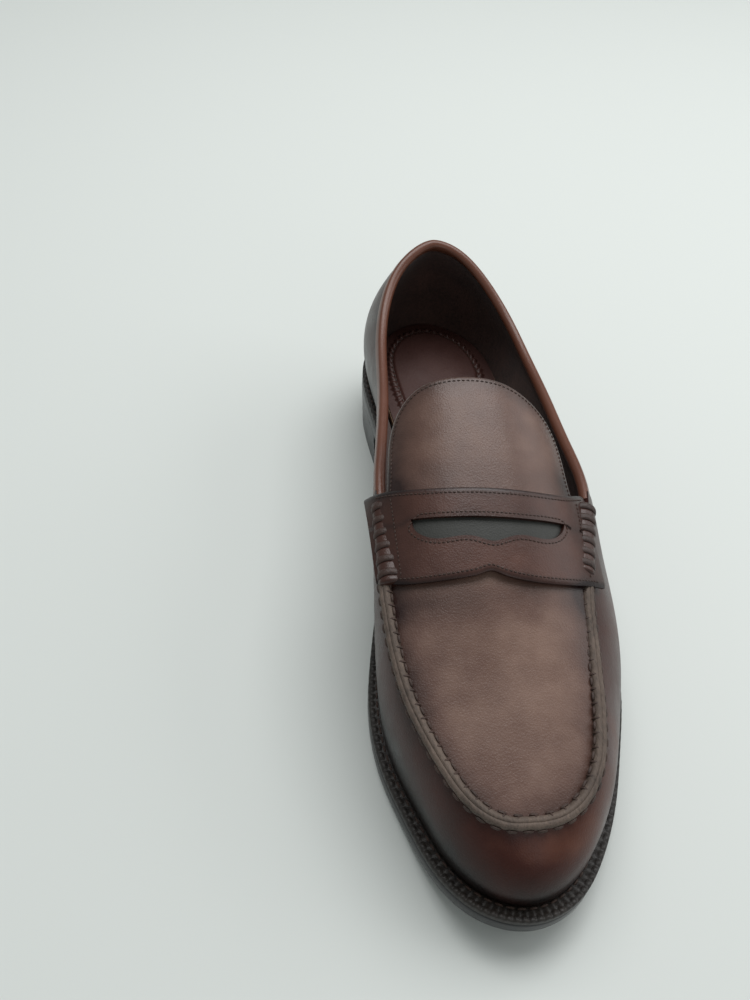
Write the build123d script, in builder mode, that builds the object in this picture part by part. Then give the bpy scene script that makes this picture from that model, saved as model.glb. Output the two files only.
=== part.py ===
from build123d import *
import math
import os

# Penny loafer, left shoe. Millimetres. Toe at -Y, heel at +Y, +Z up.
# The origin is on the floor under the middle of the shoe's bounding box.

# ---- sole heights, all measured upward from the tread line ----
TOE_SPRING = 11.0        # tread line above the floor at the toe tip
HEEL_HEIGHT = 19.5       # heel stack: floor to the underside of the outsole
BALL_FRONT = -85.0       # the tread line is on the floor between these two
BALL_BACK = -45.0
HEEL_BREAST = 75.0       # front face of the heel
LENGTH_HALF = 151.0
HALF_WIDTH = 70.0        # beyond the widest part of the shoe
OUTSOLE = 6.5
WELT_TOP = 10.0
MARGIN_TOP = 11.6        # turned-in lasting margin
INSOLE_TOP = 14.4
SOCK_TOP = 15.2
PAD_TOP = 16.4
TOP_PIECE = 6.0
LIFT = 4.5

# ---- leather thicknesses, as depths below the outer face of the upper ----
UPPER = 1.6
STAY = 2.6
LINING = 3.6
STRAP_BACKING = 0.8
STRAP = 2.4
MARGIN_INSET = 18.0      # lasting margin and welt both reach this far in from the sole's edge
GAP = 0.04               # glue line between curved layers
BINDING = 3.8            # height of the rolled topline edge
BEZIER_LOW = 0.45        # heights of the wall profile's two control points
BEZIER_HIGH = 0.78

# One row for each place round the sole, from the back of the heel by the medial side (-X) to the toe and back:
# x, y of the sole's edge, welt width, inset of the wall's top edge, its height, belly, shoulder.
STATIONS = [
    (-3.4, 151.0, 3.0, 9.5, 88.0, 7.0, 8.0),
    (-20.5, 145.0, 3.0, 10.6, 86.5, 7.2, 8.0),
    (-32.5, 130.0, 3.0, 9.0, 82.0, 8.5, 7.5),
    (-37.0, 108.0, 3.0, 4.6, 74.5, 7.0, 6.0),
    (-35.6, 85.0, 3.0, -1.0, 69.8, 6.0, 5.0),
    (-33.4, 55.0, 3.0, -6.4, 68.2, 5.5, 4.0),
    (-35.9, 24.0, 3.0, -8.6, 69.0, 5.0, 3.5),
    (-41.3, -4.0, 3.5, -7.6, 69.0, 4.5, 3.5),
    (-45.6, -24.0, 4.0, -4.6, 66.4, 4.0, 4.0),
    (-49.3, -42.0, 4.3, -1.6, 63.4, 3.5, 4.5),
    (-51.9, -62.0, 4.5, 1.2, 59.4, 3.0, 5.0),
    (-50.5, -86.0, 4.5, 3.2, 53.9, 2.6, 5.5),
    (-44.0, -110.0, 5.0, 4.6, 50.0, 2.6, 6.0),
    (-36.3, -131.0, 5.5, 8.6, 47.4, 2.8, 7.0),
    (-24.5, -145.5, 6.0, 14.3, 46.6, 3.0, 8.5),
    (-8.8, -151.0, 6.0, 15.9, 46.5, 3.0, 9.0),
    (8.0, -145.5, 6.0, 14.0, 46.6, 3.0, 8.5),
    (21.5, -131.0, 5.5, 9.0, 47.6, 2.8, 7.5),
    (33.4, -110.0, 5.0, 10.2, 50.0, 2.6, 8.0),
    (42.6, -86.0, 4.5, 15.6, 54.2, 2.4, 10.0),
    (49.8, -62.0, 4.5, 19.6, 59.0, 2.4, 12.5),
    (52.0, -42.0, 4.3, 18.6, 62.2, 3.0, 12.0),
    (51.0, -24.0, 4.0, 14.6, 64.6, 4.0, 10.0),
    (47.2, -4.0, 3.5, 5.8, 65.6, 5.0, 7.0),
    (40.8, 24.0, 3.0, -1.0, 64.0, 6.0, 5.0),
    (35.6, 55.0, 3.0, -5.4, 62.0, 6.5, 4.0),
    (34.0, 85.0, 3.0, -4.0, 62.6, 7.0, 4.5),
    (33.5, 105.0, 3.0, 0.0, 67.0, 8.0, 6.0),
    (27.0, 129.0, 3.0, 5.4, 78.0, 8.5, 7.5),
    (13.3, 145.0, 3.0, 7.6, 85.6, 7.2, 8.0),
]
COUNT = len(STATIONS)

# Crown of the apron and tongue: y, centre x, height of the middle, half width, radius across.
CROWN = [
    (-150.0, -9.8, 40.5, 36.0, 120.0),
    (-129.0, -9.8, 46.6, 37.0, 118.0),
    (-105.0, -9.8, 53.0, 38.0, 112.0),
    (-80.0, -9.8, 60.7, 40.0, 98.0),
    (-55.0, -9.6, 70.4, 41.0, 70.0),
    (-30.0, -8.6, 80.2, 42.5, 56.0),
    (-5.0, -7.2, 89.2, 40.5, 47.0),
    (15.0, -6.6, 96.0, 37.0, 41.0),
    (32.0, -6.6, 101.0, 34.5, 37.5),
]
# Free edge of the tongue behind the strap, lateral to medial.
TONGUE = [
    (28.6, -9.0), (26.6, 5.0), (22.8, 15.5), (15.0, 22.5), (3.0, 25.8), (-10.0, 27.0),
    (-23.0, 27.4), (-32.5, 24.6), (-38.0, 16.5), (-40.4, 5.0), (-42.6, -9.0),
]
STRAP_FRONT = [(-44.6, -41.5), (-37.0, -47.0), (-24.0, -50.0), (-14.5, -50.6)]
STRAP_PEAK = (-9.0, -48.6)
STRAP_FRONT_LATERAL = [(-3.5, -51.6), (6.0, -52.7), (18.0, -52.4), (31.0, -47.5)]
STRAP_REAR = [(31.2, -13.2), (24.0, -17.2), (8.0, -20.6), (-14.0, -19.6), (-33.0, -14.0), (-44.8, -7.4)]
SLOT_TOP = [(-37.6, -26.6), (-9.0, -29.8), (21.4, -29.4)]
SLOT_BOTTOM = [(14.5, -37.0), (3.0, -36.2), (-4.5, -36.6), (-9.4, -39.0), (-14.0, -36.2),
               (-21.0, -35.0), (-33.0, -33.2)]


def tread(y):
    """Height of the tread line above the floor."""
    if y < BALL_FRONT:
        return TOE_SPRING * ((BALL_FRONT - y) / (BALL_FRONT + LENGTH_HALF)) ** 2
    step = min(max((y - BALL_BACK) / (HEEL_BREAST - BALL_BACK), 0.0), 1.0)
    return HEEL_HEIGHT * (3 * step ** 2 - 2 * step ** 3)


OUTLINE = Spline(*[(row[0], row[1]) for row in STATIONS], periodic=True)


def outward(index):
    """Horizontal unit vector out of the sole's edge at a station."""
    x, y = STATIONS[index % COUNT][:2]
    along = OUTLINE.tangent_at(OUTLINE.param_at_point(Vector(x, y)))
    return Vector(along.Y, -along.X, 0).normalized()


OUTWARD = [outward(index) for index in range(COUNT)]


def inset_point(index, inset):
    """Plan point this far inside the sole's edge at a station."""
    x, y = STATIONS[index % COUNT][:2]
    return Vector(x, y) - OUTWARD[index % COUNT] * inset


def station_plane(index):
    """Upright plane across the wall, with its origin at the feather edge and local y upward."""
    foot = inset_point(index, STATIONS[index % COUNT][2])
    side = OUTWARD[index % COUNT]
    return Plane(origin=(foot.X, foot.Y, tread(foot.Y) + WELT_TOP), x_dir=side, z_dir=side.cross(Vector(0, 0, 1)))


def wall_height(index):
    return STATIONS[index % COUNT][4] - station_plane(index).origin.Z


def wall_point(index, t, depth=0.0):
    """Point of the wall profile in its station plane, at a depth below the outer face."""
    inset, belly, shoulder = STATIONS[index % COUNT][3], *STATIONS[index % COUNT][5:]
    rise = wall_height(index)
    xs = (0.0, belly, shoulder - inset, -inset)
    zs = (0.0, BEZIER_LOW * rise, BEZIER_HIGH * rise, rise)
    blend = ((1 - t) ** 3, 3 * t * (1 - t) ** 2, 3 * t * t * (1 - t), t ** 3)
    slope = ((1 - t) ** 2, 2 * t * (1 - t), t * t)
    x = sum(b * v for b, v in zip(blend, xs))
    z = sum(b * v for b, v in zip(blend, zs))
    dx = sum(s * (xs[i + 1] - xs[i]) for i, s in enumerate(slope))
    dz = sum(s * (zs[i + 1] - zs[i]) for i, s in enumerate(slope))
    size = math.hypot(dx, dz)
    return Vector(x - depth * dz / size, z + depth * dx / size)


def wall_end(index, below_top):
    """Profile parameter this far below the wall's top edge."""
    last = wall_point(index, 1.0) - wall_point(index, 0.98)
    return 1.0 - 0.02 * below_top / last.length


def wall_curve(index, depth, start, finish, points=7):
    return [wall_point(index, start + (finish - start) * k / (points - 1), depth) for k in range(points)]


def wall_section(index, outer, inner, below_top=0.0, reach=1.0):
    """Closed profile of one leather layer, standing on the lasting margin."""
    margin = MARGIN_TOP - WELT_TOP
    start = margin / (3 * BEZIER_LOW * wall_height(index))
    finish = wall_end(index, below_top) * reach
    outside = wall_curve(index, outer + GAP, start, finish)
    inside = wall_curve(index, inner, start, finish)
    outside[0] = Vector(outside[0].X, margin)
    inside[0] = Vector(inside[0].X, margin)
    with BuildSketch(station_plane(index)) as section:
        with BuildLine():
            Spline(*outside)
            Line(outside[-1], inside[-1])
            Spline(*inside)
            Line(inside[0], outside[0])
        make_face()
    return section.sketch


def upper_section(index, below_top=0.0):
    """Closed profile of the upper with its lasting margin turned in under the foot."""
    margin = MARGIN_TOP - WELT_TOP
    start = margin / (3 * BEZIER_LOW * wall_height(index))
    finish = wall_end(index, below_top)
    tuck = STATIONS[index % COUNT][2] - MARGIN_INSET
    outside = wall_curve(index, 0.0, 0.0, finish)
    inside = wall_curve(index, UPPER, start, finish)
    inside[0] = Vector(inside[0].X, margin)
    with BuildSketch(station_plane(index)) as section:
        with BuildLine():
            Spline(*outside)
            Line(outside[-1], inside[-1])
            Spline(*inside)
            Polyline(inside[0], (tuck, margin), (tuck, 0), (0, 0))
        make_face()
    return section.sketch


def top_edge(index):
    """Point on the top edge of the wall."""
    return station_plane(index).from_local_coords(wall_point(index, 1.0))


def plan_sketch(inset, beyond_welt=0.0, beyond=0.0):
    """Plan of the sole, drawn in by a fixed amount, or from the feather edge."""
    points = [inset_point(k, inset + beyond_welt * STATIONS[k][2] + beyond) for k in range(COUNT)]
    with BuildSketch() as plan:
        with BuildLine():
            Spline(*points, periodic=True)
        make_face()
    return plan.sketch


def tread_curve(rise):
    """Side view of the tread line lifted by a rise, from beyond the toe to beyond the heel."""
    past = LENGTH_HALF + 6.0
    slope = 2 * TOE_SPRING / (BALL_FRONT + LENGTH_HALF)
    third = (HEEL_BREAST - BALL_BACK) / 3
    half = (BALL_FRONT - LENGTH_HALF) / 2
    with BuildLine() as curve:
        Line((-past, rise + TOE_SPRING + slope * 6.0), (-LENGTH_HALF, rise + TOE_SPRING))
        Bezier((-LENGTH_HALF, rise + TOE_SPRING), (half, rise), (BALL_FRONT, rise))
        Line((BALL_FRONT, rise), (BALL_BACK, rise))
        Bezier((BALL_BACK, rise), (BALL_BACK + third, rise), (HEEL_BREAST - third, rise + HEEL_HEIGHT),
               (HEEL_BREAST, rise + HEEL_HEIGHT))
        Line((HEEL_BREAST, rise + HEEL_HEIGHT), (past, rise + HEEL_HEIGHT))
    return curve.line


def side_band(low, high):
    """Side view of a sole layer between two rises above the tread line."""
    lower = tread_curve(low)
    upper = tread_curve(high)
    with BuildSketch() as band:
        with BuildLine():
            add(lower)
            add(upper)
            Line(lower @ 0, upper @ 0)
            Line(lower @ 1, upper @ 1)
        make_face()
    return band.sketch_local


def crown_section(row, low, high):
    """Arched profile across the foot, between two heights over the crown surface."""
    y, middle, top, half, radius = row
    angle = math.asin(half / radius)

    def arc_points(r):
        low_z = top - radius + r * math.cos(angle)
        return (middle - r * math.sin(angle), low_z), (middle, top - radius + r), (middle + r * math.sin(angle), low_z)

    outer = arc_points(radius + high)
    inner = arc_points(radius + low + GAP)
    with BuildSketch(Plane.XZ.offset(-y)) as section:
        with BuildLine():
            ThreePointArc(*outer)
            Line(outer[2], inner[2])
            ThreePointArc(*inner)
            Line(inner[0], outer[0])
        make_face()
    return section.sketch


def crown_at(y):
    """Crown row interpolated for any y between the first and the last."""
    for low, high in zip(CROWN, CROWN[1:]):
        if y <= high[0]:
            share = (y - low[0]) / (high[0] - low[0])
            return [a + (b - a) * share for a, b in zip(low, high)]
    return list(CROWN[-1])


def crown_point(x, y, above=0.0):
    """Point over the crown surface at a plan position, and the outward normal there."""
    _, middle, top, _, radius = crown_at(y)
    side = x - middle
    drop = math.sqrt(radius ** 2 - side ** 2)
    slope = (crown_at(y + 1)[2] - crown_at(y - 1)[2]) / 2
    normal = Vector(side / radius, -slope * drop / radius, drop / radius).normalized()
    return Vector(x, y, top - radius + drop) + normal * above, normal


def closed_plan(points):
    with BuildSketch() as plan:
        with BuildLine():
            Spline(*points, periodic=True)
        make_face()
    return plan.sketch


def apron_plan():
    """Outline of the apron and tongue, between the two top edges of the vamp."""
    ridge = [top_edge(k) - OUTWARD[k % COUNT] * 0.4 for k in RIDGE_ROWS]
    return closed_plan([(p.X, p.Y) for p in ridge] + TONGUE)


def strap_plan():
    """Outline of the saddle strap, with the small peak in its front edge."""
    with BuildSketch() as plan:
        with BuildLine():
            Spline(*STRAP_FRONT, STRAP_PEAK)
            Spline(STRAP_PEAK, *STRAP_FRONT_LATERAL)
            Line(STRAP_FRONT_LATERAL[-1], STRAP_REAR[0])
            Spline(*STRAP_REAR)
            Line(STRAP_REAR[-1], STRAP_FRONT[0])
        make_face()
    return plan.sketch


def slot_plan():
    """Coin slot: a nearly straight rear edge and a moustache-shaped front edge."""
    with BuildSketch() as plan:
        with BuildLine():
            Spline(*SLOT_TOP)
            Spline(SLOT_TOP[-1], *SLOT_BOTTOM, SLOT_TOP[0])
        make_face()
    return plan.sketch


def stitch_frame(point, along, normal):
    return Plane(origin=point, x_dir=along, z_dir=normal - along * normal.dot(along)).location


def stitch_run(path, pitch, above, surface):
    """Frames for stitches at an even pitch along a plan path laid over a surface."""
    count = max(int(path.length / pitch), 2)
    frames = []
    for k in range(count):
        here, ahead = path @ ((k + 0.5) / count), path @ min((k + 0.7) / count, 1.0)
        point, normal = surface(here.X, here.Y, above)
        forward, _ = surface(ahead.X, ahead.Y, above)
        frames.append(stitch_frame(point, (forward - point).normalized(), normal))
    return frames


def finish(part, name):
    part.label = name
    export_step(part, f"parts/{name}.step")


os.makedirs("parts", exist_ok=True)

VAMP_ROWS = range(7, 24)
RIDGE_ROWS = range(8, 23)
SEAM_ROWS = range(9, 22)
MEDIAL_ROWS = range(0, 8)
LATERAL_ROWS = range(23, 31)
TOPLINE_ROWS = range(23, 38)


# ---- heel ----
def heel_layer(low, high, inset):
    """Plan slice of the heel, cut off at its slightly hollow breast."""
    with BuildPart() as layer:
        add(plan_sketch(inset))
        extrude(amount=high)
        with BuildSketch():
            with BuildLine():
                ThreePointArc((-60, HEEL_BREAST), (-1, HEEL_BREAST + 4), (60, HEEL_BREAST))
                Polyline((60, HEEL_BREAST), (60, 160), (-60, 160), (-60, HEEL_BREAST))
            make_face()
        extrude(amount=high, mode=Mode.INTERSECT)
        if low > 0:
            split(bisect_by=Plane.XY.offset(low), keep=Keep.TOP)
    return layer.part


NAIL_HEAD = 1.2
NAIL_TOP = TOP_PIECE + LIFT
nail_path = [inset_point(k, 9.0) for k in (3, 2, 1, 0, 29, 28, 27)]

with BuildPart() as heel_top_piece:
    add(heel_layer(0, TOP_PIECE, 1.2))
    with Locations(*[(p.X, p.Y, TOP_PIECE / 2) for p in nail_path]):
        Cylinder(NAIL_HEAD, TOP_PIECE, mode=Mode.SUBTRACT)
finish(heel_top_piece.part, "heel_top_piece")

with BuildPart() as heel_lift_lower:
    add(heel_layer(TOP_PIECE, NAIL_TOP, 0.9))
    with Locations(*[(p.X, p.Y, TOP_PIECE + LIFT / 2) for p in nail_path]):
        Cylinder(NAIL_HEAD, LIFT, mode=Mode.SUBTRACT)
finish(heel_lift_lower.part, "heel_lift_lower")
finish(heel_layer(NAIL_TOP, NAIL_TOP + LIFT, 0.6), "heel_lift_middle")
finish(heel_layer(NAIL_TOP + LIFT, HEEL_HEIGHT, 0.3), "heel_lift_upper")

with BuildPart() as heel_nails:
    with Locations(*[(p.X, p.Y, NAIL_TOP / 2 + 0.2) for p in nail_path]):
        Cylinder(NAIL_HEAD, NAIL_TOP - 0.4)
finish(heel_nails.part, "heel_nails")


# ---- sole ----
def sole_layer(plan, low, high):
    """Plan shape cut to the band between two rises above the tread line."""
    with BuildPart() as layer:
        add(plan)
        extrude(amount=60)
        with BuildSketch(Plane.YZ.offset(-HALF_WIDTH)):
            add(side_band(low, high))
        extrude(amount=2 * HALF_WIDTH, mode=Mode.INTERSECT)
    return layer.part


def shank_plan(grow):
    with BuildSketch() as plan:
        with Locations((-0.5, 30)):
            SlotOverall(112 + 2 * grow, 14 + 2 * grow, rotation=90)
    return plan.sketch


SHANK_LOW = 7.6
SHANK_HIGH = 9.4
finish(sole_layer(plan_sketch(0), 0, OUTSOLE), "outsole")
finish(sole_layer(plan_sketch(0) - plan_sketch(MARGIN_INSET), OUTSOLE, WELT_TOP), "welt")
shank = sole_layer(shank_plan(0), SHANK_LOW, SHANK_HIGH)
finish(shank, "shank")

with BuildPart() as cork_filler:
    add(sole_layer(plan_sketch(MARGIN_INSET), OUTSOLE, MARGIN_TOP))
    add(shank, mode=Mode.SUBTRACT)
finish(cork_filler.part, "cork_filler")
finish(sole_layer(plan_sketch(0, 1, LINING + 0.4), MARGIN_TOP, INSOLE_TOP), "insole_board")
finish(sole_layer(plan_sketch(0, 1, LINING + 0.8), INSOLE_TOP, SOCK_TOP), "sock_liner")


def heel_pad_plan():
    """Plan of the heel pad: the sock's outline with a rounded front end."""
    side = [inset_point(k, 11.0) for k in (27, 28, 29, 30, 31, 32, 33, 34)]
    points = [(p.X, p.Y) for p in side] + [(-19.5, 66), (-12, 53), (-0.5, 48), (11, 53), (19.0, 66), (21.0, 85)]
    return closed_plan(points)


finish(sole_layer(heel_pad_plan(), SOCK_TOP, PAD_TOP), "heel_pad")


# ---- upper ----
def lofted(sections, ruled=True):
    with BuildPart() as shell:
        for section in sections:
            add(section)
        loft(ruled=ruled)
    return shell.part


finish(lofted((upper_section(k) for k in VAMP_ROWS), ruled=False), "vamp")
finish(lofted((upper_section(k, BINDING) for k in MEDIAL_ROWS), ruled=False), "quarter_medial")
finish(lofted((upper_section(k, BINDING) for k in LATERAL_ROWS), ruled=False), "quarter_lateral")
finish(lofted(wall_section(k, UPPER, STAY, 0, 0.9) for k in range(12, 19)), "toe_puff")
finish(lofted(wall_section(k, UPPER, STAY, BINDING, 0.95) for k in range(8, 13)), "side_stay_medial")
finish(lofted(wall_section(k, UPPER, STAY, BINDING, 0.95) for k in range(18, 23)), "side_stay_lateral")
finish(lofted(wall_section(k, UPPER, STAY, BINDING, 0.9) for k in range(25, 36)), "heel_counter")
finish(lofted(wall_section(k, STAY, LINING) for k in VAMP_ROWS), "vamp_lining")
finish(lofted(wall_section(k, STAY, LINING, BINDING) for k in TOPLINE_ROWS), "quarter_lining")


def binding_section(index):
    """Rolled edge that caps the quarter and its lining."""
    t = wall_end(index, BINDING)
    base_out, base_in = wall_point(index, t, -0.4), wall_point(index, t, LINING + 0.4)
    up = (wall_point(index, 1.0) - wall_point(index, t)).normalized()
    across = (base_out - base_in).normalized()
    shoulder_out, shoulder_in = base_out + up * 1.8, base_in + up * 1.8
    peak = base_in + across * 2.2 + up * (BINDING + 0.2)
    with BuildSketch(station_plane(index)) as section:
        with BuildLine():
            Line(base_out, shoulder_out)
            ThreePointArc(shoulder_out, peak, shoulder_in)
            Line(shoulder_in, base_in)
            Line(base_in, base_out)
        make_face()
    return section.sketch


finish(lofted(binding_section(k) for k in TOPLINE_ROWS), "topline_binding")

BACK_AXIS = Axis((-3.4, 122.0, 0), (0, 0, 1))
with BuildPart() as back_strip:
    with BuildSketch(station_plane(0)):
        outside = wall_curve(0, -0.9, 0.02, wall_end(0, BINDING + 1) * 0.97)
        inside = wall_curve(0, -GAP, 0.02, wall_end(0, BINDING + 1) * 0.97)
        with BuildLine():
            Spline(*outside)
            Line(outside[-1], inside[-1])
            Spline(*inside)
            Line(inside[0], outside[0])
        make_face()
    revolve(axis=BACK_AXIS, revolution_arc=24)
finish(back_strip.part.rotate(BACK_AXIS, -12), "back_strip")


# ---- apron and strap ----
def crown_slab(plan, low, high):
    """Leather sheet lying over the foot, cut to a plan outline."""
    with BuildPart() as sheet:
        for row in CROWN:
            add(crown_section(row, low, high))
        loft()
        add(plan)
        extrude(amount=120, mode=Mode.INTERSECT)
    return sheet.part


finish(crown_slab(apron_plan(), -UPPER, 0), "apron")
finish(crown_slab(apron_plan(), -STAY, -UPPER), "apron_lining")
finish(crown_slab(strap_plan(), 0, STRAP_BACKING), "strap_backing")
finish(crown_slab(strap_plan() - slot_plan(), STRAP_BACKING, STRAP), "strap")


# ---- raised moccasin seam between apron and vamp ----
def seam_axes(index):
    """Top-edge point, sideways and upward directions of the raised seam, in the station plane."""
    top = wall_point(index, 1.0)
    wall_normal = (top - wall_point(index, 1.0, 1.0)).normalized()
    up = (wall_normal + Vector(0, 1)).normalized()
    return top, Vector(up.Y, -up.X), up


SEAM_HALF = 2.2
SEAM_LOW = -0.6
SEAM_SHOULDER = 1.5
SEAM_TOP = 2.3


def seam_section(index):
    top, side, up = seam_axes(index)
    corners = [top + side * s * SEAM_HALF + up * h for s, h in
               ((-1, SEAM_LOW), (-1, SEAM_SHOULDER), (1, SEAM_SHOULDER), (1, SEAM_LOW))]
    with BuildSketch(station_plane(index)) as section:
        with BuildLine():
            Line(corners[0], corners[1])
            ThreePointArc(corners[1], top + up * SEAM_TOP, corners[2])
            Polyline(corners[2], corners[3], corners[0])
        make_face()
    return section.sketch


finish(lofted(seam_section(k) for k in SEAM_ROWS), "moccasin_seam")


# ---- beef rolls and their lacing ----
ROLL_WIDE = 4.6
ROLL_HIGH = 2.8
LACE = 0.8


def roll_plane(ends, share, lift=3.0):
    """Plane across the roll, with local x along its width, at a share of its length."""
    start, end = top_edge(ends[0]), top_edge(ends[1])
    side = (OUTWARD[ends[0] % COUNT] + OUTWARD[ends[1] % COUNT]).normalized()
    along = (end - start).normalized()
    up = (side * 0.3 + Vector(0, 0, 1)).normalized()
    return Plane(origin=start + (end - start) * share + up * lift - side * 1.5, x_dir=along.cross(up), z_dir=along)


def beef_roll(ends):
    with BuildPart() as roll:
        for share, size in ((0.0, 0.86), (0.04, 1.0), (0.5, 1.04), (0.96, 1.0), (1.0, 0.86)):
            with BuildSketch(roll_plane(ends, share)):
                Ellipse(ROLL_WIDE * size, ROLL_HIGH * size)
        loft()
    return roll.part


def roll_lacing(ends):
    with BuildPart() as wraps:
        for k in range(6):
            with BuildSketch(roll_plane(ends, 0.1 + 0.16 * k)):
                Ellipse(ROLL_WIDE * 1.04 + LACE, ROLL_HIGH * 1.04 + LACE)
                Ellipse(ROLL_WIDE * 1.04, ROLL_HIGH * 1.04, mode=Mode.SUBTRACT)
            extrude(amount=1.1, both=True)
    return wraps.part


MEDIAL_ROLL = (9, 7)
LATERAL_ROLL = (21, 23)
finish(beef_roll(MEDIAL_ROLL), "beef_roll_medial")
finish(beef_roll(LATERAL_ROLL), "beef_roll_lateral")
finish(roll_lacing(MEDIAL_ROLL), "roll_lacing_medial")
finish(roll_lacing(LATERAL_ROLL), "roll_lacing_lateral")


# ---- stitching ----
def stitches(frames, length, width, height):
    with BuildPart() as thread:
        with Locations(*frames):
            Box(length, width, height)
    return thread.part


def welt_frames():
    path = Spline(*[inset_point(k, 2.1) for k in range(COUNT)], periodic=True)
    return stitch_run(path, 5.6, 0.3, lambda x, y, up: (Vector(x, y, tread(y) + WELT_TOP + up), Vector(0, 0, 1)))


def seam_frames(side):
    """Frames along one flank of the raised seam: +1 on the vamp side, -1 on the apron side."""
    points = []
    for k in SEAM_ROWS:
        top, across, up = seam_axes(k)
        points.append(station_plane(k).from_local_coords(top + across * side * (SEAM_HALF + 0.25) + up * 0.9))
    path = Spline(*points)
    count = int(path.length / 5.2)
    shares = [(k + 0.5) / count for k in range(count)]
    return [stitch_frame(path @ s, path % s, Vector(0, 0, 1)) for s in shares]


STRAP_EDGE = [(x, y + 2.4) for x, y in STRAP_FRONT + [STRAP_PEAK] + STRAP_FRONT_LATERAL]
strap_paths = [Spline(*STRAP_EDGE), Spline(*[(x, y - 2.4) for x, y in STRAP_REAR])]
tongue_path = Spline(*[(x * 0.93 - 0.5, y - 2.4) for x, y in TONGUE])
finish(stitches(welt_frames(), 3.6, 1.1, 0.9), "welt_stitches")
finish(stitches(seam_frames(1) + seam_frames(-1), 3.4, 0.8, 1.0), "seam_stitches")
finish(stitches([f for p in strap_paths for f in stitch_run(p, 3.4, STRAP + 0.15, crown_point)], 2.2, 0.6, 0.5),
       "strap_stitches")
finish(stitches(stitch_run(tongue_path, 3.4, 0.15, crown_point), 2.2, 0.6, 0.5), "tongue_stitches")
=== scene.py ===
import math
import bmesh
import bpy
import numpy as np
from mathutils import Matrix


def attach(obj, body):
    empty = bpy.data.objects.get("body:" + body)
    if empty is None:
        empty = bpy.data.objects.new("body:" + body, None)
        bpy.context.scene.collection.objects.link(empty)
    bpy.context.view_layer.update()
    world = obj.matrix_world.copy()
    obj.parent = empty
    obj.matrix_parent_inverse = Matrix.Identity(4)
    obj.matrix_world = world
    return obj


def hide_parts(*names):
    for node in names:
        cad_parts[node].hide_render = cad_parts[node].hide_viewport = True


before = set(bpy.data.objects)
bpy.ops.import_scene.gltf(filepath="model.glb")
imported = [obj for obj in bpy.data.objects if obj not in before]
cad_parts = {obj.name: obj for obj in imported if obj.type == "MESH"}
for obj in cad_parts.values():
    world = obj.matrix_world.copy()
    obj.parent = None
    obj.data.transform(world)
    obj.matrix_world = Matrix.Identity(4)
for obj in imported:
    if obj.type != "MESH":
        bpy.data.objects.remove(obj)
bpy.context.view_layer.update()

MM = 0.001

# ---------------------------------------------------------------- shape of the shoe, in millimetres
# The tables are rounded from points of the photograph that were projected back onto the shoe. STATIONS and
# CROWN repeat part.py; the tongue, strap and slot outlines were measured again later and differ from it by
# up to 6 mm.
# One row for each place round the sole, from the heel's back by the medial side (-X) to the toe and back:
# x, y of the sole's edge, welt width, inset of the wall's top edge, its height, belly, shoulder.
STATIONS = np.array([
    (-3.4, 151.0, 3.0, 9.5, 88.0, 7.0, 8.0),
    (-20.5, 145.0, 3.0, 10.6, 86.5, 7.2, 8.0),
    (-32.5, 130.0, 3.0, 9.0, 82.0, 8.5, 7.5),
    (-37.0, 108.0, 3.0, 4.6, 74.5, 7.0, 6.0),
    (-35.6, 85.0, 3.0, -1.0, 69.8, 6.0, 5.0),
    (-33.4, 55.0, 3.0, -6.4, 68.2, 5.5, 4.0),
    (-35.9, 24.0, 3.0, -8.6, 69.0, 5.0, 3.5),
    (-41.3, -4.0, 3.5, -7.6, 69.0, 4.5, 3.5),
    (-45.6, -24.0, 4.0, -4.6, 66.4, 4.0, 4.0),
    (-49.3, -42.0, 4.3, -1.6, 63.4, 3.5, 4.5),
    (-51.9, -62.0, 4.5, 1.2, 59.4, 3.0, 5.0),
    (-50.5, -86.0, 4.5, 3.2, 53.9, 2.6, 5.5),
    (-44.0, -110.0, 5.0, 4.6, 50.0, 2.6, 6.0),
    (-36.3, -131.0, 5.5, 8.6, 47.4, 2.8, 7.0),
    (-24.5, -145.5, 6.0, 14.3, 46.6, 3.0, 8.5),
    (-8.8, -151.0, 6.0, 15.9, 46.5, 3.0, 9.0),
    (8.0, -145.5, 6.0, 14.0, 46.6, 3.0, 8.5),
    (21.5, -131.0, 5.5, 9.0, 47.6, 2.8, 7.5),
    (33.4, -110.0, 5.0, 10.2, 50.0, 2.6, 8.0),
    (42.6, -86.0, 4.5, 15.6, 54.2, 2.4, 10.0),
    (49.8, -62.0, 4.5, 19.6, 59.0, 2.4, 12.5),
    (52.0, -42.0, 4.3, 18.6, 62.2, 3.0, 12.0),
    (51.0, -24.0, 4.0, 14.6, 64.6, 4.0, 10.0),
    (47.2, -4.0, 3.5, 5.8, 65.6, 5.0, 7.0),
    (40.8, 24.0, 3.0, -1.0, 64.0, 6.0, 5.0),
    (35.6, 55.0, 3.0, -5.4, 62.0, 6.5, 4.0),
    (34.0, 85.0, 3.0, -4.0, 62.6, 7.0, 4.5),
    (33.5, 105.0, 3.0, 0.0, 67.0, 8.0, 6.0),
    (27.0, 129.0, 3.0, 5.4, 78.0, 8.5, 7.5),
    (13.3, 145.0, 3.0, 7.6, 85.6, 7.2, 8.0),
])
COUNT = len(STATIONS)
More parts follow.
